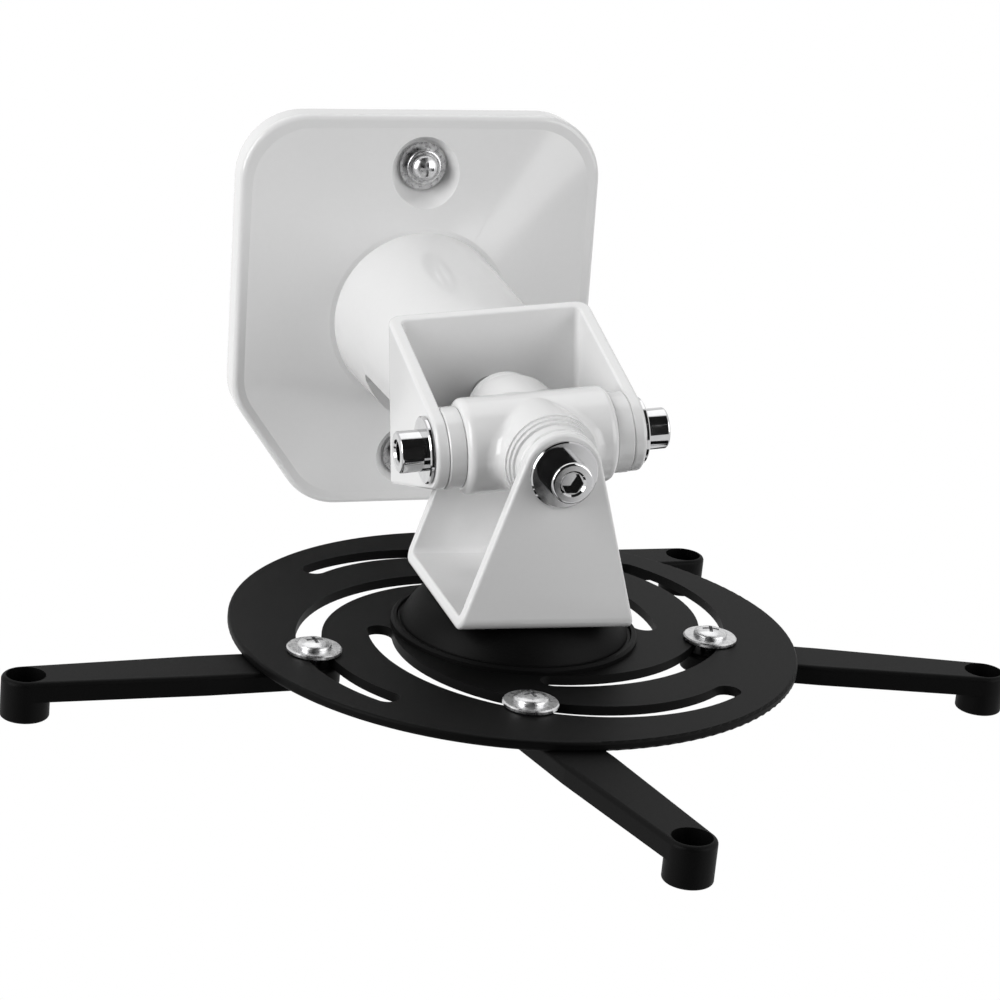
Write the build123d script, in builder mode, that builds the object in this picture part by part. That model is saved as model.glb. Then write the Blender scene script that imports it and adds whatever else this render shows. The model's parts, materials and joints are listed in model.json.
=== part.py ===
from build123d import *
import os
from math import atan2, cos, degrees, radians, sin

# A universal projector mount on a wall, in millimetres.
# The origin is the centre of the wall plate's back face. +Y goes into the wall, +Z is up.

# Clearances and small edges
run_gap = 0.08
thread_gap = 0.05
loose_gap = 0.5
edge_round = 0.8
sharp_break = 0.4
washer_break = 0.4

# Wall plate
plate_width = 129.0
plate_height = 141.0
plate_rim = 10.0
plate_corner_radius = 23.0
plate_blunt_x = 28.0
plate_blunt_z = 40.0
plate_blunt_radius = 22.0
plate_wall = 3.0
plate_edge_radius = 2.0
plate_rise = 7.0
transition_side_angle = 6.0

# Neck
neck_reach = 102.5
neck_root_radius = 31.0
neck_end_radius = 27.5
neck_root_fillet = 1.5
neck_wall = 4.0
neck_end_wall = 6.0
window_start = 50.0
window_end = 86.0
window_drop = 9.0
window_corner_radius = 4.0

# Wall screws and the seats they pull on
wall_hole_inset = 18.0
wall_recess_radius = 8.8
wall_recess_slope = 0.55
wall_post_radius = 13.0
wall_screw_radius = 2.5
wall_shank_radius = 2.2
wall_screw_reach = 22.0
wall_screw_head_radius = 4.7
wall_screw_head_height = 3.6
wall_recess_length = 5.0
wall_washer_radius = 8.2
wall_washer_thickness = 1.4
wall_collar_radius = 6.2
wall_collar_height = 2.6

# Yokes: folded strips, the upper one a little wider than the lower one
yoke_stock = 4.0
upper_yoke_width = 67.0
lower_yoke_width = 65.0
yoke_strip = 57.0
yoke_tip_radius = 12.5
yoke_outer_round = 1.2
yoke_bend_outer = 4.4
yoke_bend_inner = 1.8

# Cross block and its bushes
barrel_radius = 15.0
barrel_end_radius = 2.5
roll_barrel_radius = 14.7
roll_step_radii = [14.1, 13.4]
roll_step_length = 1.8
cross_blend_radius = 4.5
bush_radius = 12.7
tilt_bush_length = 5.45
roll_bush_length = 4.45
ear_gap = 0.05

# Socket head cap screws and their washers
cap_radius = 4.0
cap_length = 25.0
cap_head_radius = 6.5
cap_head_height = 8.0
cap_socket_flats = 6.0
cap_socket_depth = 4.0
cap_socket_mouth = 4.1
cap_mouth_depth = 0.6
tilt_tip_room = 2.1
roll_tip_room = 1.1
cap_washer_radius = 10.5
cap_washer_thickness = 1.6

# Swivel bolts at the neck and at the disc
swivel_radius = 4.0
swivel_head_radius = 6.5
swivel_head_height = 3.0
swivel_nut_flats = 13.0
swivel_nut_height = 6.5
swivel_tail = 2.0
swivel_washer_radius = 9.0
swivel_washer_thickness = 1.6
head_clearance = 1.85

# Slotted disc and the bell above it
disc_radius = 90.0
disc_stock = 3.0
slot_count = 4
slot_width = 8.0
slot_arc_radius = 58.95
slot_offset = 17.3
slot_start = -157.0
slot_sweep = 139.0
bell_height = 11.4
bell_radius = 39.0
bell_lip_height = 2.0
bell_lip_width = 2.2
bell_groove_depth = 0.8
bell_groove_height = 1.2
bell_shoulder_radius = 31.0
bell_shoulder_height = 9.0
bell_seat_radius = 25.0
bell_wall = 2.5

# Arms with their feet
arm_length = 88.3
arm_thickness = 6.1
arm_edge_round = 1.4
arm_root_radius = 8.5
arm_middle_radius = 8.9
arm_middle_share = 0.4
foot_radius = 7.3
foot_height = 13.0
foot_bore_radius = 3.2
foot_recess_radius = 5.9
foot_recess_depth = 9.0

# Arm screws and their washers
arm_screw_radius = 2.5
arm_screw_length = 12.0
arm_screw_head_radius = 5.3
arm_screw_head_height = 2.4
arm_recess_length = 5.2
screw_head_rim = 0.5
screw_recess_width = 1.1
screw_recess_depth = 1.3
arm_washer_radius = 8.5
arm_washer_thickness = 1.5

# Pose: the plate stands a little off plumb, the yoke is turned on the neck and the disc is level
plate_turn = 1.4
yoke_turn = -5.4
first_slot_angle = -32.3
arm_names = ["front", "right", "back", "left"]
screw_angles = [-85.5, -85.7, -67.0, -56.7]
arm_angles = [-76.4, -15.3, 3.4, -175.9]

# Places that follow from the sizes above
wall_hole_spacing = plate_height - 2 * wall_hole_inset
tilt_seat = upper_yoke_width / 2 + ear_gap
roll_seat = lower_yoke_width / 2 + ear_gap
roll_head_reach = roll_seat + cap_washer_thickness + cap_head_height
yoke_reach = roll_head_reach + head_clearance + swivel_head_height + yoke_stock
pivot_y = -(neck_reach + yoke_reach)
disc_top_z = -(yoke_reach + bell_height)
disc_bottom_z = disc_top_z - disc_stock
plate_side = Vector(cos(radians(plate_turn)), 0, sin(radians(plate_turn)))
wall_plane = Plane(origin=(0, 0, 0), x_dir=plate_side, z_dir=(0, -1, 0))
neck_side_plane = Plane(origin=(0, 0, 0), x_dir=wall_plane.z_dir, z_dir=plate_side * -1)
tilt_half_length = upper_yoke_width / 2 - yoke_stock - ear_gap - tilt_bush_length
roll_half_length = lower_yoke_width / 2 - yoke_stock - ear_gap - roll_bush_length
tilt_hole_bottom = tilt_seat + cap_washer_thickness - cap_length - tilt_tip_room
roll_hole_bottom = roll_seat + cap_washer_thickness - cap_length - roll_tip_room
upper_plane = Plane(Location((0, pivot_y, 0), (0, yoke_turn, 0)))
lower_plane = Plane(origin=(0, pivot_y, 0), x_dir=(0, 1, 0), z_dir=(-1, 0, 0))
tilt_axis = upper_plane.x_dir
roll_axis = Vector(0, 1, 0)
recess_floor = plate_rim - plate_wall
neck_bore_root = neck_root_radius - neck_wall
neck_bore_end = neck_end_radius - neck_wall

os.makedirs("parts", exist_ok=True)


def facing(direction, distance):
    """Plane square to a direction from the centre of the cross, at a distance along it."""
    origin = Vector(0, pivot_y, 0) + direction * distance
    return Plane(origin=origin, x_dir=direction.cross(Vector(0, 0, 1)), z_dir=direction)


def disc_point(slot, radius, angle, height):
    """Point over the disc, given from the arc centre of one slot."""
    offset_angle = first_slot_angle + slot * 360 / slot_count
    across = slot_offset * cos(radians(offset_angle)) + radius * cos(radians(offset_angle + angle))
    along = slot_offset * sin(radians(offset_angle)) + radius * sin(radians(offset_angle + angle))
    return Vector(across, pivot_y + along, height)


def draw_plate(plane, inset):
    """Outline of the wall plate: rounded above, blunt at the two lower corners."""
    half = plate_width / 2
    top = plate_height / 2
    with BuildSketch(plane) as outline:
        with BuildLine():
            Polyline(
                (-half, top),
                (-half, plate_blunt_z - top),
                (plate_blunt_x - half, -top),
                (half - plate_blunt_x, -top),
                (half, plate_blunt_z - top),
                (half, top),
                close=True,
            )
        make_face()
        fillet(outline.vertices().group_by(Axis.Y)[-1], plate_corner_radius)
        heights = outline.vertices().group_by(Axis.Y)
        fillet(heights[0] + heights[1], plate_blunt_radius)
        if inset:
            offset(amount=-inset, kind=Kind.INTERSECTION)
    return outline.sketch


def draw_transition_end(plane):
    """Circle cut into arcs that answer the sides and corners of the plate's outline."""
    slope = degrees(atan2(plate_blunt_x, plate_blunt_z))
    sides = [90, 180, 180 + slope, 270, 360 - slope, 360]
    radius = neck_root_radius + neck_root_fillet
    with BuildSketch(plane) as outline:
        with BuildLine():
            for side, following in zip(sides, sides[1:] + [450]):
                start = side - transition_side_angle
                stop = side + transition_side_angle
                CenterArc((0, 0), radius, start, stop - start)
                CenterArc((0, 0), radius, stop, following - transition_side_angle - stop)
        make_face()
    return outline.sketch


def draw_yoke_side(half_width, reach, bend_radius):
    """Outline of one side of the folded strip."""
    with BuildSketch() as outline:
        with Locations((0, -2 * yoke_tip_radius)):
            Rectangle(
                2 * half_width, reach + 2 * yoke_tip_radius, align=(Align.CENTER, Align.MIN)
            )
        fillet(outline.vertices().group_by(Axis.Y)[-1], bend_radius)
    return outline.sketch


def make_yoke(profile_plane, width, web_hole):
    """A folded yoke: the U profile of the strip, cut to the tapered outline of its ears."""
    side_plane = Plane(
        origin=profile_plane.origin, x_dir=profile_plane.y_dir, z_dir=profile_plane.x_dir
    )
    web_plane = Plane(
        origin=profile_plane.origin, x_dir=profile_plane.x_dir, z_dir=profile_plane.y_dir
    )
    side_axis = Axis(side_plane.origin, side_plane.z_dir)
    strip_axis = Axis(profile_plane.origin, profile_plane.z_dir)
    with BuildPart() as body:
        with BuildSketch(profile_plane):
            add(draw_yoke_side(width / 2, yoke_reach, yoke_bend_outer))
            inside = draw_yoke_side(
                width / 2 - yoke_stock, yoke_reach - yoke_stock, yoke_bend_inner
            )
            add(inside, mode=Mode.SUBTRACT)
        extrude(amount=yoke_strip, both=True)
        with BuildSketch(side_plane):
            with BuildLine():
                CenterArc((0, 0), yoke_tip_radius, 0, 360)
                Line((yoke_reach, -yoke_strip / 2), (yoke_reach, yoke_strip / 2))
            make_hull()
        extrude(amount=width, both=True, mode=Mode.INTERSECT)
        for face, radius in ((0, yoke_outer_round), (1, edge_round)):
            ears = body.faces().filter_by(side_axis).sort_by(side_axis)
            rims = ears[face].edges() + ears[-1 - face].edges()
            fillet(rims.filter_by(strip_axis, reverse=True), radius)
        with BuildSketch(side_plane):
            Circle(cap_radius + run_gap)
        extrude(amount=width, both=True, mode=Mode.SUBTRACT)
        with BuildSketch(web_plane):
            Circle(web_hole)
        extrude(amount=yoke_reach + yoke_stock, mode=Mode.SUBTRACT)
    return body.part


def make_cap_screw(seat):
    """Socket head cap screw, its head standing on the seat plane and its shank going back."""
    with BuildPart() as body:
        with BuildSketch(seat):
            Circle(cap_head_radius)
        extrude(amount=cap_head_height)
        top = body.faces().sort_by(Axis(seat.origin, seat.z_dir))[-1]
        fillet(top.edges(), edge_round)
        with BuildSketch(seat.offset(cap_head_height)):
            RegularPolygon(cap_socket_flats / 2, 6, major_radius=False)
        extrude(amount=-cap_socket_depth, mode=Mode.SUBTRACT)
        with BuildSketch(seat.offset(cap_head_height)):
            Circle(cap_socket_mouth)
        with BuildSketch(seat.offset(cap_head_height - cap_mouth_depth)):
            Circle(cap_socket_mouth - cap_mouth_depth)
        loft(mode=Mode.SUBTRACT)
        with BuildSketch(seat):
            Circle(cap_radius)
        extrude(amount=-cap_length)
        tip = body.faces().sort_by(Axis(seat.origin, seat.z_dir))[0]
        chamfer(tip.edges(), sharp_break)
    return body.part


def make_ring(plane, outer_radius, inner_radius, height):
    """Plain washer or bush standing on a plane."""
    with BuildPart() as body:
        with BuildSketch(plane):
            Circle(outer_radius)
            Circle(inner_radius, mode=Mode.SUBTRACT)
        extrude(amount=height)
        ends = body.edges().filter_by(GeomType.CIRCLE).group_by(SortBy.RADIUS)[-1]
        chamfer(ends, washer_break)
    return body.part


def make_swivel_bolt(seat, length):
    """Low headed bolt, its head standing on the seat plane and its shank going back."""
    with BuildPart() as body:
        with BuildSketch(seat):
            Circle(swivel_head_radius)
        extrude(amount=swivel_head_height)
        top = body.faces().sort_by(Axis(seat.origin, seat.z_dir))[-1]
        fillet(top.edges(), edge_round)
        with BuildSketch(seat):
            Circle(swivel_radius)
        extrude(amount=-length)
        tip = body.faces().sort_by(Axis(seat.origin, seat.z_dir))[0]
        chamfer(tip.edges(), sharp_break)
    return body.part


def make_nut(plane):
    """Hexagon nut with its corners turned off, standing on a plane."""
    with BuildPart() as body:
        with BuildSketch(plane):
            RegularPolygon(swivel_nut_flats / 2, 6, major_radius=False)
            Circle(swivel_radius + thread_gap, mode=Mode.SUBTRACT)
        extrude(amount=swivel_nut_height)
        with BuildSketch(plane):
            Circle(swivel_nut_flats / 2 + sharp_break)
        extrude(amount=swivel_nut_height, mode=Mode.INTERSECT)
    return body.part


def make_domed_screw(seat, radius, length, head_radius, head_height, recess_length):
    """Domed screw with a cross recess, its head standing on the seat plane."""
    section = Plane(origin=seat.origin, x_dir=seat.x_dir, z_dir=seat.x_dir.cross(seat.z_dir))
    dome_height = head_height - screw_head_rim
    with BuildPart() as body:
        with BuildSketch(section):
            with BuildLine():
                EllipticalCenterArc(
                    (0, screw_head_rim), head_radius, dome_height, start_angle=0, arc_size=90
                )
                Polyline((0, head_height), (0, 0), (head_radius, 0), (head_radius, screw_head_rim))
            make_face()
        revolve(axis=Axis(seat.origin, seat.z_dir))
        with BuildSketch(seat.offset(head_height)):
            Rectangle(recess_length, screw_recess_width)
            Rectangle(screw_recess_width, recess_length)
        extrude(amount=-screw_recess_depth, mode=Mode.SUBTRACT)
        with BuildSketch(seat):
            Circle(radius)
        extrude(amount=-length)
        tip = body.faces().sort_by(Axis(seat.origin, seat.z_dir))[0]
        chamfer(tip.edges(), sharp_break)
    return body.part


# Wall plate with its neck: one hollow casting, open at the back
root_distance = plate_rim + plate_rise
recess_top = root_distance + sharp_break
recess_open_radius = wall_recess_radius + wall_recess_slope * (recess_top - recess_floor)
window_length = window_end - window_start

with BuildPart() as wall_plate:
    extrude(draw_plate(wall_plane, 0), amount=plate_rim)
    fillet(wall_plate.faces().sort_by(Axis.Y)[0].edges(), plate_edge_radius)
    face_plane = wall_plane.offset(plate_rim - sharp_break)
    face_outline = draw_plate(face_plane, plate_edge_radius + sharp_break)
    neck_foot = draw_transition_end(wall_plane.offset(root_distance))
    loft([face_outline.face(), neck_foot.face()], ruled=True)
    with BuildSketch(wall_plane.offset(plate_rim)):
        Circle(neck_root_radius)
    with BuildSketch(wall_plane.offset(neck_reach)):
        Circle(neck_end_radius)
    loft()
    fillet(wall_plate.faces().sort_by(Axis.Y)[0].edges(), edge_round)

    # Hollow back, with a bore up the neck
    extrude(draw_plate(wall_plane, plate_wall), amount=recess_floor, mode=Mode.SUBTRACT)
    with BuildSketch(wall_plane):
        Circle(neck_bore_root)
    with BuildSketch(wall_plane.offset(neck_reach - neck_end_wall)):
        Circle(neck_bore_end)
    loft(mode=Mode.SUBTRACT)

    # Seats for the two wall screws
    with BuildSketch(wall_plane):
        with GridLocations(0, wall_hole_spacing, 1, 2):
            Circle(wall_post_radius)
    extrude(amount=recess_floor)
    for side in (-1, 1):
        with BuildSketch(wall_plane.offset(recess_floor)):
            with Locations((0, side * wall_hole_spacing / 2)):
                Circle(wall_recess_radius)
        with BuildSketch(wall_plane.offset(recess_top)):
            with Locations((0, side * wall_hole_spacing / 2)):
                Circle(recess_open_radius)
        loft(mode=Mode.SUBTRACT)
    with BuildSketch(wall_plane):
        with GridLocations(0, wall_hole_spacing, 1, 2):
            Circle(wall_screw_radius + thread_gap)
    extrude(amount=root_distance, mode=Mode.SUBTRACT)

    # Hole for the swivel bolt, and the cable window that leaves the neck's underside open
    with BuildSketch(wall_plane):
        Circle(swivel_radius + thread_gap)
    extrude(amount=neck_reach, mode=Mode.SUBTRACT)
    with BuildSketch(neck_side_plane) as window:
        with Locations((window_start + window_length / 2, -window_drop)):
            Rectangle(window_length, neck_root_radius, align=(Align.CENTER, Align.MAX))
        fillet(window.vertices().group_by(Axis.Y)[-1], window_corner_radius)
    extrude(amount=neck_root_radius, both=True, mode=Mode.SUBTRACT)
wall_plate.part.label = "wall_plate"
export_step(wall_plate.part, "parts/wall_plate.step")

# Wall screws on collared washers
wall_head_seat = recess_floor + wall_washer_thickness + wall_collar_height
for name, side in (("upper", 1), ("lower", -1)):
    centre = (0, side * wall_hole_spacing / 2)
    with BuildPart() as wall_washer:
        with BuildSketch(wall_plane.offset(recess_floor)):
            with Locations(centre):
                Circle(wall_washer_radius)
        extrude(amount=wall_washer_thickness)
        with BuildSketch(wall_plane.offset(recess_floor)):
            with Locations(centre):
                Circle(wall_collar_radius)
        extrude(amount=wall_washer_thickness + wall_collar_height)
        fillet(wall_washer.faces().sort_by(Axis.Y)[0].edges(), edge_round)
        with BuildSketch(wall_plane.offset(recess_floor)):
            with Locations(centre):
                Circle(wall_screw_radius + thread_gap)
        extrude(amount=neck_reach, mode=Mode.SUBTRACT)
    wall_washer.part.label = f"wall_washer_{name}"
    export_step(wall_washer.part, f"parts/wall_washer_{name}.step")
    seat_centre = wall_plane.from_local_coords((0, side * wall_hole_spacing / 2, wall_head_seat))
    seat = Plane(origin=seat_centre, x_dir=plate_side, z_dir=wall_plane.z_dir)
    headed_shank = make_domed_screw(
        seat,
        wall_shank_radius,
        wall_head_seat + sharp_break,
        wall_screw_head_radius,
        wall_screw_head_height,
        wall_recess_length,
    )
    with BuildPart() as wall_screw:
        add(headed_shank)
        with BuildSketch(wall_plane):
            with Locations(centre):
                Circle(wall_screw_radius)
        extrude(amount=-wall_screw_reach)
        chamfer(wall_screw.faces().sort_by(Axis.Y)[-1].edges(), sharp_break)
    wall_screw.part.label = f"wall_screw_{name}"
    export_step(wall_screw.part, f"parts/wall_screw_{name}.step")

# Swivel bolt through the upper yoke's web and the neck's end wall
neck_inside = Plane(origin=(0, neck_end_wall - neck_reach, 0), x_dir=(1, 0, 0), z_dir=(0, 1, 0))
web_inside = wall_plane.offset(neck_reach + yoke_stock)
swivel_washer = make_ring(
    neck_inside, swivel_washer_radius, swivel_radius + thread_gap, swivel_washer_thickness
)
swivel_washer.label = "swivel_washer"
export_step(swivel_washer, "parts/swivel_washer.step")
swivel_nut = make_nut(neck_inside.offset(swivel_washer_thickness))
swivel_nut.label = "swivel_nut"
export_step(swivel_nut, "parts/swivel_nut.step")
swivel_grip = yoke_stock + neck_end_wall + swivel_washer_thickness + swivel_nut_height
swivel_bolt = make_swivel_bolt(web_inside, swivel_grip + swivel_tail)
swivel_bolt.label = "swivel_bolt"
export_step(swivel_bolt, "parts/swivel_bolt.step")

# Upper and lower yokes
upper_yoke = make_yoke(upper_plane, upper_yoke_width, swivel_radius + run_gap)
upper_yoke.label = "upper_yoke"
export_step(upper_yoke, "parts/upper_yoke.step")
lower_yoke = make_yoke(lower_plane, lower_yoke_width, swivel_radius + thread_gap)
lower_yoke.label = "lower_yoke"
export_step(lower_yoke, "parts/lower_yoke.step")

# Cross block: two crossed barrels, the one that rolls stepped toward its ends
tilt_face = Plane(origin=upper_plane.origin, x_dir=upper_plane.y_dir, z_dir=upper_plane.x_dir)
roll_face = Plane(origin=upper_plane.origin, x_dir=upper_plane.x_dir, z_dir=upper_plane.y_dir)
step_start = roll_half_length - roll_step_length * len(roll_step_radii)
with BuildPart() as cross_block:
    with BuildSketch(tilt_face):
        Circle(barrel_radius)
    extrude(amount=tilt_half_length, both=True)
    ends = cross_block.edges().filter_by(GeomType.CIRCLE)
    fillet(ends, barrel_end_radius)
    with BuildSketch(roll_face):
        Circle(roll_barrel_radius)
    extrude(amount=step_start, both=True)
    crossing = cross_block.edges().filter_by(GeomType.BSPLINE)
    fillet(crossing, cross_blend_radius)
    for index, radius in enumerate(roll_step_radii):
        with BuildSketch(roll_face):
            Circle(radius)
        extrude(amount=step_start + roll_step_length * (index + 1), both=True)
    for plane, bottom, mouth in (
        (tilt_face, tilt_hole_bottom, tilt_half_length),
        (roll_face, roll_hole_bottom, roll_half_length),
    ):
        for side in (-1, 1):
            with BuildSketch(plane.offset(side * bottom)):
                Circle(cap_radius + thread_gap)
            extrude(amount=side * mouth, mode=Mode.SUBTRACT)
cross_block.part.label = "cross_block"
export_step(cross_block.part, "parts/cross_block.step")

# Bushes, washers and cap screws on the four ends of the cross
cross_ends = [
    ("tilt_left", tilt_axis * -1, tilt_seat, tilt_half_length, tilt_bush_length),
    ("tilt_right", tilt_axis, tilt_seat, tilt_half_length, tilt_bush_length),
    ("roll_front", roll_axis * -1, roll_seat, roll_half_length, roll_bush_length),
    ("roll_back", roll_axis, roll_seat, roll_half_length, roll_bush_length),
]
for name, direction, washer_seat, bush_foot, bush_length in cross_ends:
    bush = make_ring(
        facing(direction, bush_foot), bush_radius, cap_radius + loose_gap, bush_length
    )
    bush.label = f"{name}_bush"
    export_step(bush, f"parts/{name}_bush.step")
    washer = make_ring(
        facing(direction, washer_seat),
        cap_washer_radius,
        cap_radius + loose_gap,
        cap_washer_thickness,
    )
    washer.label = f"{name}_washer"
    export_step(washer, f"parts/{name}_washer.step")
    screw = make_cap_screw(facing(direction, washer_seat + cap_washer_thickness))
    screw.label = f"{name}_screw"
    export_step(screw, f"parts/{name}_screw.step")

# Slotted disc
disc_top = Plane(origin=(0, pivot_y, disc_top_z), x_dir=(1, 0, 0), z_dir=(0, 0, 1))
disc_bottom = disc_top.offset(-disc_stock)
slot_path = CenterArc((0, 0), slot_arc_radius, slot_start, slot_sweep)
with BuildPart() as slotted_disc:
    with BuildSketch(disc_bottom):
        Circle(disc_radius)
        Circle(swivel_radius + run_gap, mode=Mode.SUBTRACT)
        with PolarLocations(slot_offset, slot_count, start_angle=first_slot_angle):
            SlotArc(slot_path, slot_width, mode=Mode.SUBTRACT)
    extrude(amount=disc_stock)
    rim = slotted_disc.edges().filter_by(GeomType.CIRCLE).group_by(SortBy.RADIUS)[-1]
    fillet(rim, edge_round)
slotted_disc.part.label = "slotted_disc"
export_step(slotted_disc.part, "parts/slotted_disc.step")

# Bell: a pressed hat with a lip at its foot, hollow over the disc
bell_section = Plane(origin=disc_top.origin, x_dir=(1, 0, 0), z_dir=(0, -1, 0))
groove_radius = bell_radius - bell_lip_width
bell_foot_radius = groove_radius - bell_groove_depth
with BuildPart() as bell:
    with BuildSketch(bell_section):
        with BuildLine():
            Polyline(
                (swivel_radius + run_gap, bell_height - bell_wall),
                (swivel_radius + run_gap, bell_height),
                (bell_seat_radius, bell_height),
            )
            Spline(
                (bell_seat_radius, bell_height),
                (bell_shoulder_radius, bell_shoulder_height),
                (bell_foot_radius, bell_groove_height),
                tangents=[(1, 0), (0.35, -1)],
            )
            Polyline(
                (bell_foot_radius, bell_groove_height),
                (groove_radius, bell_groove_height),
                (groove_radius + bell_groove_depth / 2, bell_lip_height),
                (bell_radius - bell_groove_depth, bell_lip_height),
                (bell_radius, bell_lip_height - bell_groove_depth),
                (bell_radius, 0),
                (bell_foot_radius - bell_wall, 0),
                (bell_seat_radius, bell_height - bell_wall),
                (swivel_radius + run_gap, bell_height - bell_wall),
            )
        make_face()
    revolve(axis=Axis(disc_top.origin, disc_top.z_dir))
bell.part.label = "bell"
export_step(bell.part, "parts/bell.step")

# Pivot bolt from under the disc, up through the bell and the lower yoke's web
pivot_seat = Plane(origin=(0, pivot_y, disc_bottom_z), x_dir=(1, 0, 0), z_dir=(0, 0, -1))
pivot_inside = Plane(origin=(0, pivot_y, yoke_stock - yoke_reach), x_dir=(1, 0, 0), z_dir=(0, 0, 1))
pivot_washer = make_ring(
    pivot_inside, swivel_washer_radius, swivel_radius + thread_gap, swivel_washer_thickness
)
pivot_washer.label = "pivot_washer"
export_step(pivot_washer, "parts/pivot_washer.step")
pivot_nut = make_nut(pivot_inside.offset(swivel_washer_thickness))
pivot_nut.label = "pivot_nut"
export_step(pivot_nut, "parts/pivot_nut.step")
pivot_grip = disc_stock + bell_height + yoke_stock + swivel_washer_thickness + swivel_nut_height
pivot_bolt = make_swivel_bolt(pivot_seat, pivot_grip + swivel_tail)
pivot_bolt.label = "pivot_bolt"
export_step(pivot_bolt, "parts/pivot_bolt.step")

# Arms under the disc, each with the screw and washer that clamp it to its slot
for slot, name in enumerate(arm_names):
    root = disc_point(slot, slot_arc_radius, screw_angles[slot], disc_bottom_z)
    turn = radians(arm_angles[slot])
    arm_top = Plane(origin=root, x_dir=(cos(turn), sin(turn), 0), z_dir=(0, 0, 1))
    with BuildPart() as arm:
        with BuildSketch(arm_top):
            Circle(arm_root_radius)
            with Locations((arm_length * arm_middle_share, 0)):
                Circle(arm_middle_radius)
            with Locations((arm_length, 0)):
                Circle(foot_radius)
            make_hull()
        extrude(amount=-arm_thickness)
        with BuildSketch(arm_top):
            with Locations((arm_length, 0)):
                Circle(foot_radius)
        extrude(amount=-foot_height)
        fillet(arm.faces().sort_by(Axis.Z)[-1].outer_wire().edges(), arm_edge_round)
        fillet(arm.faces().sort_by(Axis.Z)[0].edges(), edge_round)
        with BuildSketch(arm_top):
            Circle(arm_screw_radius + run_gap)
            with Locations((arm_length, 0)):
                Circle(foot_bore_radius)
        extrude(amount=-foot_height, mode=Mode.SUBTRACT)
        with BuildSketch(arm_top):
            with Locations((arm_length, 0)):
                Circle(foot_recess_radius)
        extrude(amount=-foot_recess_depth, mode=Mode.SUBTRACT)
    arm.part.label = f"arm_{name}"
    export_step(arm.part, f"parts/arm_{name}.step")
    washer_plane = arm_top.offset(disc_stock)
    arm_washer = make_ring(
        washer_plane, arm_washer_radius, arm_screw_radius + thread_gap, arm_washer_thickness
    )
    arm_washer.label = f"arm_washer_{name}"
    export_step(arm_washer, f"parts/arm_washer_{name}.step")
    arm_screw = make_domed_screw(
        washer_plane.offset(arm_washer_thickness),
        arm_screw_radius,
        arm_screw_length,
        arm_screw_head_radius,
        arm_screw_head_height,
        arm_recess_length,
    )
    arm_screw.label = f"arm_screw_{name}"
    export_step(arm_screw, f"parts/arm_screw_{name}.step")
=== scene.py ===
# %% [markdown]
# # A universal projector mount
#
# This lesson dresses a finished mechanical model: a painted wall plate and yokes, a black slotted disc with
# four arms, and bright screws. The solids already have the right shape, so the work here is what a model
# lacks: paint, powder coat, plated steel, screw threads, and the soft light of a product photograph.

# %% Load the solids
import json
import math

import bmesh
import bpy
from mathutils import Matrix, Vector


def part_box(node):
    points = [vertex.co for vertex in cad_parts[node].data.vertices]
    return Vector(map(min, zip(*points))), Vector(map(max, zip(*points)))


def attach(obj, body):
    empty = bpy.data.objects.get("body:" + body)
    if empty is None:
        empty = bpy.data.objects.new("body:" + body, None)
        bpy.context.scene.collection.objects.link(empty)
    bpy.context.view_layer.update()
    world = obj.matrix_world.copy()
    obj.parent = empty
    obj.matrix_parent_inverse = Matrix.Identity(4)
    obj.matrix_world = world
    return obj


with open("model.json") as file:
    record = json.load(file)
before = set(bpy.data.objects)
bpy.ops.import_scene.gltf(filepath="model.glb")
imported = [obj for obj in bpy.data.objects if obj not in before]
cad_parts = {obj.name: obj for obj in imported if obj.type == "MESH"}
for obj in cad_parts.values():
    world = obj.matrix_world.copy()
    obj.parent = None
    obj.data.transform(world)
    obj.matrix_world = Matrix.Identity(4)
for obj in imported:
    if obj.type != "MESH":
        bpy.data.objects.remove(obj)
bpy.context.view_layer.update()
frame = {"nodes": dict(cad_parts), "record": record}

# %% [markdown]
# ## The camera
#
# A product photograph is taken from a little above and to the left, with a long lens that keeps the plate's
# sides nearly parallel. The camera could be aimed with a constraint, but a long lens shows even half a degree
# of error. So it is described by where it stands and by its three directions, which go straight into its
# matrix.

# %% Camera
camera_place = Vector((-0.2803, -0.9930, 0.2750))
camera_right = Vector((0.9564, -0.2776, 0.0912))
camera_up = Vector((0.0056, 0.3295, 0.9441))
camera_back = Vector((-0.2921, -0.9024, 0.3167))
lens_millimetres = 107.97
film_millimetres = 36.0
nearest_seen = 0.01

camera_data = bpy.data.cameras.new("product_camera")
camera_data.lens = lens_millimetres
camera_data.sensor_width = film_millimetres
camera_data.clip_start = nearest_seen
camera = bpy.data.objects.new("product_camera", camera_data)
bpy.context.scene.collection.objects.link(camera)
camera_turn = Matrix((camera_right, camera_up, camera_back)).transposed().to_4x4()
camera.matrix_world = Matrix.Translation(camera_place) @ camera_turn
bpy.context.scene.camera = camera
print("lens:", lens_millimetres, "mm at", [round(v, 3) for v in camera_place])

# %% [markdown]
# ## What the camera sees and what the mount feels
#
# The mount hangs in front of pure white, yet white all round would wash the paint out. The two can differ,
# because a material may ask what kind of ray has reached it. Rays that come from the camera, from a mirror or
# through glass are shown plain white, and all the others get a softer light. Three small helpers say that
# once for the world and for the floor.

# %% Ray helpers
def larger_of(tree, first, second):
    """The larger of two values, as an output socket."""
    node = tree.nodes.new("ShaderNodeMath")
    node.operation = "MAXIMUM"
    tree.links.new(first, node.inputs[0])
    tree.links.new(second, node.inputs[1])
    return node.outputs[0]


def seen_directly(tree):
    """1 for a ray from the camera, a mirror or glass, and 0 for any other."""
    rays = tree.nodes.new("ShaderNodeLightPath")
    by_mirror = larger_of(tree, rays.outputs["Is Glossy Ray"], rays.outputs["Is Transmission Ray"])
    return larger_of(tree, rays.outputs["Is Camera Ray"], by_mirror)


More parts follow.
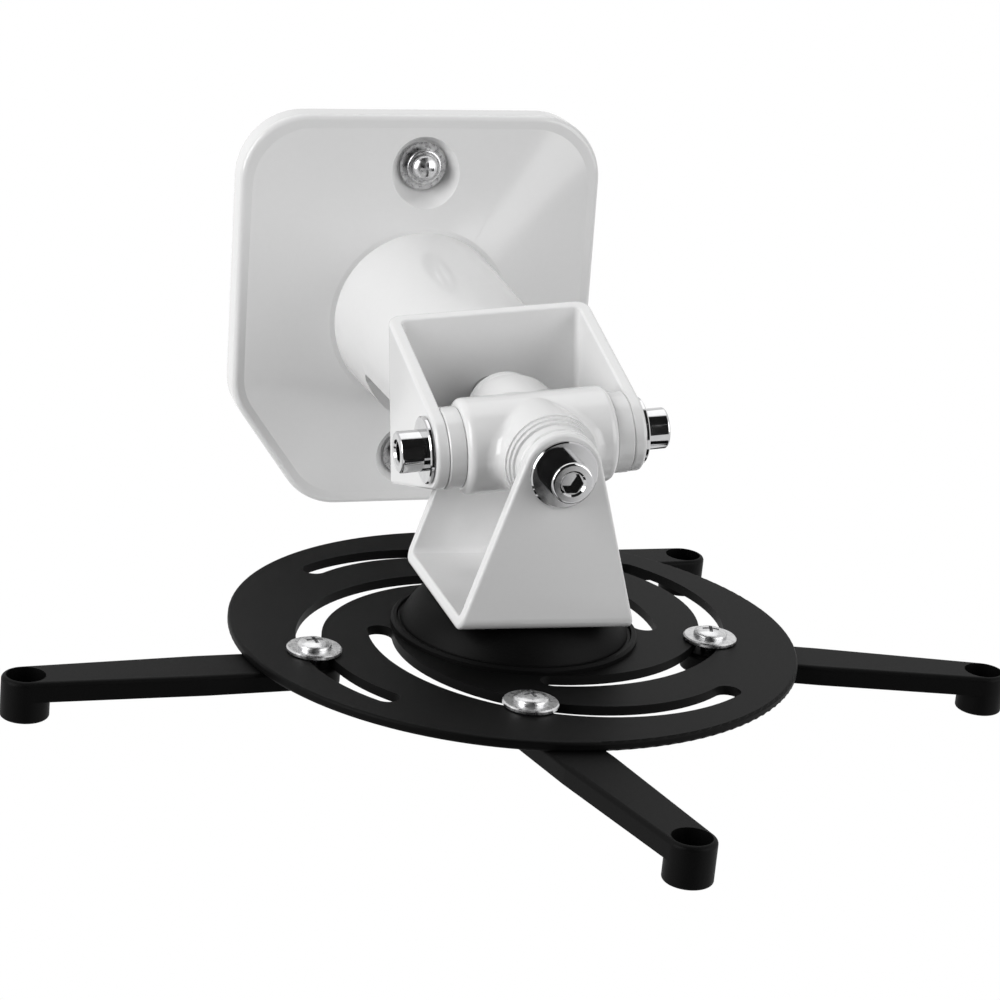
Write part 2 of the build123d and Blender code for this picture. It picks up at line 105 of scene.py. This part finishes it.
def mix_shaders(tree, share, first, second):
    """The second shader where share is 1, and the first where it is 0."""
    mix = tree.nodes.new("ShaderNodeMixShader")
    tree.links.new(share, mix.inputs["Fac"])
    tree.links.new(first, mix.inputs[1])
    tree.links.new(second, mix.inputs[2])
    return mix.outputs[0]


# %% World
white = (1.0, 1.0, 1.0, 1.0)
seen_strength = 1.0
given_strength = 0.33

world = bpy.data.worlds.new("white_studio")
bpy.context.scene.world = world
world.use_nodes = True
world_tree = world.node_tree
world_tree.nodes.clear()
backgrounds = []
for strength in (given_strength, seen_strength):
    background = world_tree.nodes.new("ShaderNodeBackground")
    background.inputs["Color"].default_value = white
    background.inputs["Strength"].default_value = strength
    backgrounds.append(background.outputs[0])
world_output = world_tree.nodes.new("ShaderNodeOutputWorld")
world_mix = mix_shaders(world_tree, seen_directly(world_tree), *backgrounds)
world_tree.links.new(world_mix, world_output.inputs["Surface"])
print("world: strength", seen_strength, "as seen,", given_strength, "as light")

# %% [markdown]
# ## The floor
#
# A product table is a sheet of pale board. Here it lies far below the mount, which hangs on a wall, so that
# its shadow falls out of the picture. It is a single face, because nothing of it shows but its colour. The
# helper that makes it is used again for the dark card below.

# %% Stage helper
def stage_sheet(name, corners, faces, grey, roughness):
    """A flat studio sheet with a plain grey paint, and that paint's node tree."""
    mesh = bpy.data.meshes.new(name)
    mesh.from_pydata(corners, [], faces)
    sheet = bpy.data.objects.new(name, mesh)
    bpy.context.scene.collection.objects.link(sheet)
    paint = bpy.data.materials.new(name)
    paint.use_nodes = True
    shader = paint.node_tree.nodes["Principled BSDF"]
    shader.inputs["Base Color"].default_value = (grey, grey, grey, 1.0)
    shader.inputs["Roughness"].default_value = roughness
    mesh.materials.append(paint)
    return paint.node_tree


def show_on_surface(tree, shader):
    """Send a shader to the material's surface."""
    tree.links.new(shader, tree.nodes["Material Output"].inputs["Surface"])


# %% Floor
floor_height = -1.3
floor_half_width = 4.0
floor_front = -4.0
floor_back = 6.0
floor_tree = stage_sheet(
    "studio_floor",
    [
        (-floor_half_width, floor_front, floor_height), (floor_half_width, floor_front, floor_height),
        (floor_half_width, floor_back, floor_height), (-floor_half_width, floor_back, floor_height),
    ],
    [(0, 1, 2, 3)],
    grey=0.85,
    roughness=0.9,
)
floor_paint = floor_tree.nodes["Principled BSDF"].outputs[0]
floor_white = floor_tree.nodes.new("ShaderNodeEmission").outputs[0]
show_on_surface(floor_tree, mix_shaders(floor_tree, seen_directly(floor_tree), floor_paint, floor_white))
print("floor at", floor_height, "m")

# %% [markdown]
# ## Soft boxes
#
# Glossy paint shows every lamp, so the lamps are large and shaped as in a studio. One wide box overhead
# whitens the tops. One tall box at the left is the main light, and draws the bright line down each rounded
# edge. One at the right, beside the camera, is mirrored by the plate's sloping side as a bright wedge.

# %% Lamps
mount_middle = Vector((0.0, -0.12, 0.0))


def soft_box(name, place, width, height, watts):
    """A rectangular lamp that is aimed at the middle of the mount."""
    data = bpy.data.lights.new(name, "AREA")
    data.shape = "RECTANGLE"
    data.size = width
    data.size_y = height
    data.energy = watts
    lamp = bpy.data.objects.new(name, data)
    bpy.context.scene.collection.objects.link(lamp)
    direction = (Vector(place) - mount_middle).normalized()
    lamp.matrix_world = Matrix.Translation(place) @ direction.to_track_quat("Z", "Y").to_matrix().to_4x4()


soft_box("box_overhead", place=(0.0, 0.5, 1.3), width=1.6, height=1.2, watts=5.0)
soft_box("box_left", place=(-1.5, -0.5, 0.6), width=1.0, height=1.4, watts=24.0)
soft_box("box_right", place=(0.99, -1.01, 0.43), width=1.2, height=1.1, watts=10.0)

# %% [markdown]
# ## A dark card
#
# Polished steel in a white room has nothing to reflect but white, and it disappears. A photographer stands a
# black card behind the camera, so that each screw shows one dark band between bright ones. The card is two
# flat faces: one upright, with a notch at its lower right corner that lets the front washer stay bright, and
# one that leans forward over the top. Its cloth is clear to the camera, so that no view finds a black wall
# behind the mount.

# %% Dark card
card_depth = -1.6
card_left = -2.2
card_notch = 0.49
card_right = 0.62
card_foot = -0.75
card_step = -0.35
card_top = 1.2
lean_depth = card_depth + 1.4
lean_top = card_top + 0.7

card_tree = stage_sheet(
    "dark_card",
    [
        (card_left, card_depth, card_foot), (card_notch, card_depth, card_foot),
        (card_notch, card_depth, card_step), (card_right, card_depth, card_step),
        (card_right, card_depth, card_top), (card_left, card_depth, card_top),
        (card_right, lean_depth, lean_top), (card_left, lean_depth, lean_top),
    ],
    [(0, 1, 2, 3, 4, 5), (5, 4, 6, 7)],
    grey=0.01,
    roughness=1.0,
)
card_rays = card_tree.nodes.new("ShaderNodeLightPath")
card_clear = card_tree.nodes.new("ShaderNodeBsdfTransparent").outputs[0]
card_cloth = card_tree.nodes["Principled BSDF"].outputs[0]
card_surface = mix_shaders(card_tree, card_rays.outputs["Is Camera Ray"], card_cloth, card_clear)
show_on_surface(card_tree, card_surface)
print("dark card:", round(card_right - card_left, 2), "m wide")

# %% [markdown]
# ## One grain for every finish
#
# No real coat is perfectly even. Paint has a faint orange peel, powder coat a fine pebble, plating a soft
# cloud. All three are the same idea at another size, so one node group makes it: a noise whose scale and
# height are inputs, which gives a mask for colours and roughness and a normal for the light. The contrast
# spreads the noise about its middle, because plain noise seldom comes near 0 or 1.

# %% Grain group
grain_detail = 3.0
grain_depth = 0.0002

grain = bpy.data.node_groups.new("coat_grain", "ShaderNodeTree")
for name in ("Grains per metre", "Height", "Contrast"):
    grain.interface.new_socket(name, in_out="INPUT", socket_type="NodeSocketFloat")
grain.interface.new_socket("Mask", in_out="OUTPUT", socket_type="NodeSocketFloat")
grain.interface.new_socket("Normal", in_out="OUTPUT", socket_type="NodeSocketVector")
grain_in = grain.nodes.new("NodeGroupInput")
grain_out = grain.nodes.new("NodeGroupOutput")
grain_place = grain.nodes.new("ShaderNodeTexCoord")
grain_noise = grain.nodes.new("ShaderNodeTexNoise")
grain_noise.inputs["Detail"].default_value = grain_detail
grain_shift = grain.nodes.new("ShaderNodeMath")
grain_shift.operation = "MULTIPLY_ADD"
grain_shift.inputs[1].default_value = -0.5
grain_shift.inputs[2].default_value = 0.5
grain_spread = grain.nodes.new("ShaderNodeMath")
grain_spread.operation = "MULTIPLY_ADD"
grain_spread.use_clamp = True
grain_bump = grain.nodes.new("ShaderNodeBump")
grain_bump.inputs["Distance"].default_value = grain_depth
for start, end in (
    (grain_place.outputs["Object"], grain_noise.inputs["Vector"]),
    (grain_in.outputs["Grains per metre"], grain_noise.inputs["Scale"]),
    (grain_in.outputs["Contrast"], grain_shift.inputs[0]),
    (grain_noise.outputs["Fac"], grain_spread.inputs[0]),
    (grain_in.outputs["Contrast"], grain_spread.inputs[1]),
    (grain_shift.outputs[0], grain_spread.inputs[2]),
    (grain_spread.outputs[0], grain_out.inputs["Mask"]),
    (grain_in.outputs["Height"], grain_bump.inputs["Strength"]),
    (grain_noise.outputs["Fac"], grain_bump.inputs["Height"]),
    (grain_bump.outputs["Normal"], grain_out.inputs["Normal"]),
):
    grain.links.new(start, end)
print("group:", grain.name, [s.name for s in grain.interface.items_tree])

# %% [markdown]
# ## The four finishes
#
# The castings and yokes wear a glossy white enamel. The disc, the bell and the arms are powder coated in
# satin black, whose pebble is only a fraction of a millimetre across. The small screws and washers are
# bright zinc with a faint cloud, and the large cap screws are polished and plated. Each finish is the grain
# between two colours and two roughnesses, so one helper makes all four, and only the values differ.

# %% Finish helper
grain_contrast = 2.0
usual_shine = 0.5


def finish(name, dark, light, smooth, rough, metal, grains, height, shine=usual_shine):
    """A coat whose colour and roughness wander between two values with the grain."""
    material = bpy.data.materials.new(name)
    material.use_nodes = True
    nodes = material.node_tree.nodes
    links = material.node_tree.links
    shader = nodes["Principled BSDF"]
    shader.inputs["Metallic"].default_value = metal
    shader.inputs["Specular IOR Level"].default_value = shine
    surface = nodes.new("ShaderNodeGroup")
    surface.node_tree = grain
    surface.inputs["Grains per metre"].default_value = grains
    surface.inputs["Height"].default_value = height
    surface.inputs["Contrast"].default_value = grain_contrast
    colour = nodes.new("ShaderNodeMix")
    colour.data_type = "RGBA"
    colour.inputs["A"].default_value = (*dark, 1.0)
    colour.inputs["B"].default_value = (*light, 1.0)
    gloss = nodes.new("ShaderNodeMapRange")
    gloss.inputs["To Min"].default_value = smooth
    gloss.inputs["To Max"].default_value = rough
    links.new(surface.outputs["Mask"], colour.inputs["Factor"])
    links.new(surface.outputs["Mask"], gloss.inputs["Value"])
    links.new(colour.outputs["Result"], shader.inputs["Base Color"])
    links.new(gloss.outputs["Result"], shader.inputs["Roughness"])
    links.new(surface.outputs["Normal"], shader.inputs["Normal"])
    return material


# %% Finishes
finish_of_slot = {
    "white_paint": finish(
        "white_enamel", dark=(0.81, 0.81, 0.81), light=(0.82, 0.82, 0.82),
        smooth=0.12, rough=0.14, metal=0.0, grains=500.0, height=0.004,
    ),
    "black_powder": finish(
        "black_powder", dark=(0.002, 0.002, 0.002), light=(0.003, 0.003, 0.003),
        smooth=0.45, rough=0.55, metal=0.0, grains=3000.0, height=0.15, shine=0.06,
    ),
    "zinc": finish(
        "bright_zinc", dark=(0.46, 0.46, 0.47), light=(0.66, 0.66, 0.66),
        smooth=0.20, rough=0.38, metal=1.0, grains=700.0, height=0.05,
    ),
    "bright_steel": finish(
        "polished_plate", dark=(0.50, 0.50, 0.51), light=(0.56, 0.56, 0.56),
        smooth=0.05, rough=0.09, metal=1.0, grains=300.0, height=0.005,
    ),
}
slot_of_node = {s["node"]: s["material_slot"] for s in frame["record"]["subparts"]}
for name, solid in frame["nodes"].items():
    solid.data.materials.clear()
    solid.data.materials.append(finish_of_slot[slot_of_node[name]])
print("finishes:", sorted(m.name for m in finish_of_slot.values()))

# %% [markdown]
# ## Screw threads
#
# A thread is one ridge wound around a shank. A screw modifier would wind it too, but not fade it in and out
# at its ends. So its section is a small triangle, carried round a helix by a loop that places three corners
# at each step and joins them to the three before. Only the lengths of thread that can be seen are made:
# behind the plate, and on the tails of the bolts past their nuts.

# %% Thread helper
steps_per_turn = 24
flank_share = 0.42
sunk_share = 0.1


def thread(name, body, foot, way, length, form, slot):
    """A helical ridge around a shank that starts at foot and runs along way."""
    way = Vector(way)
    across = way.orthogonal().normalized()
    beside = way.cross(across)
    flank = way * form["pitch"] * flank_share
    root = form["radius"] - sunk_share * form["depth"]
    count = int((length / form["pitch"] - 1) * steps_per_turn)
    corners = []
    for step in range(count + 1):
        turns = step / steps_per_turn
        fade = min(1.0, turns, (count - step) / steps_per_turn)
        out = across * math.cos(2 * math.pi * turns) + beside * math.sin(2 * math.pi * turns)
        middle = Vector(foot) + way * form["pitch"] * (0.5 + turns)
        crest = root + form["depth"] * (sunk_share + fade)
        corners += [middle + out * root - flank, middle + out * crest, middle + out * root + flank]
    faces = [(0, 1, 2), (count * 3 + 2, count * 3 + 1, count * 3)]
    for here in range(0, count * 3, 3):
        ahead = here + 3
        for k, n in ((0, 1), (1, 2), (2, 0)):
            faces.append((here + k, ahead + k, ahead + n, here + n))
    mesh = bpy.data.meshes.new(name)
    mesh.from_pydata(corners, [], faces)
    build = bmesh.new()
    build.from_mesh(mesh)
    bmesh.ops.recalc_face_normals(build, faces=build.faces)
    build.to_mesh(mesh)
    build.free()
    piece = bpy.data.objects.new(name, mesh)
    bpy.context.scene.collection.objects.link(piece)
    mesh.materials.append(finish_of_slot[slot])
    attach(piece, body)
    print(name, len(mesh.polygons), "faces")


# %% Wall screw threads
coarse_form = {"radius": 0.0025, "depth": 0.0004, "pitch": 0.0018}
bare_foot = 0.0005
bare_tip = 0.0005
for side in ("upper", "lower"):
    low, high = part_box(f"wall_screw_{side}")
    foot = ((low.x + high.x) / 2, bare_foot, (low.z + high.z) / 2)
    length = high.y - bare_foot - bare_tip
    thread(f"wall_thread_{side}", "wall", foot, (0, 1, 0), length, coarse_form, "zinc")

# %% Bolt threads
bolt_form = {"radius": 0.0040, "depth": 0.0003, "pitch": 0.00125}
inside_nut = 0.0004
low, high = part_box("pivot_bolt")
nut_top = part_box("pivot_nut")[1].z
foot = (0, (low.y + high.y) / 2, nut_top - inside_nut)
thread("pivot_thread", "lower", foot, (0, 0, 1), high.z - nut_top, bolt_form, "bright_steel")
bolt_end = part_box("swivel_bolt")[1].y
nut_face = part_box("swivel_nut")[1].y
foot = (0, nut_face - inside_nut, 0)
thread("swivel_thread", "wall", foot, (0, 1, 0), bolt_end - nut_face, bolt_form, "bright_steel")

# %% [markdown]
# ## Shading
#
# The solids come as flat facets. Smooth shading with a sharp limit of thirty degrees keeps the crisp edges
# and rounds the barrels. Weighted normals let each large flat face win over the narrow round beside it, so
# that flats stay flat. Neither moves a corner, so the pieces keep their sizes.

# %% Smooth shading
sharp_degrees = 30
for solid in frame["nodes"].values():
    solid.data.shade_smooth()
    solid.data.set_sharp_from_angle(angle=math.radians(sharp_degrees))
    weighted = solid.modifiers.new("weighted_normals", "WEIGHTED_NORMAL")
    weighted.keep_sharp = True
print("smooth shading on", len(frame["nodes"]), "solids")

# %% [markdown]
# ## The view transform
#
# A dressed part has to stay as large as the solids that it dresses. The last cell sets the plain view
# transform.

# %% Set the view transform and close
bpy.context.scene.view_settings.view_transform = "Standard"
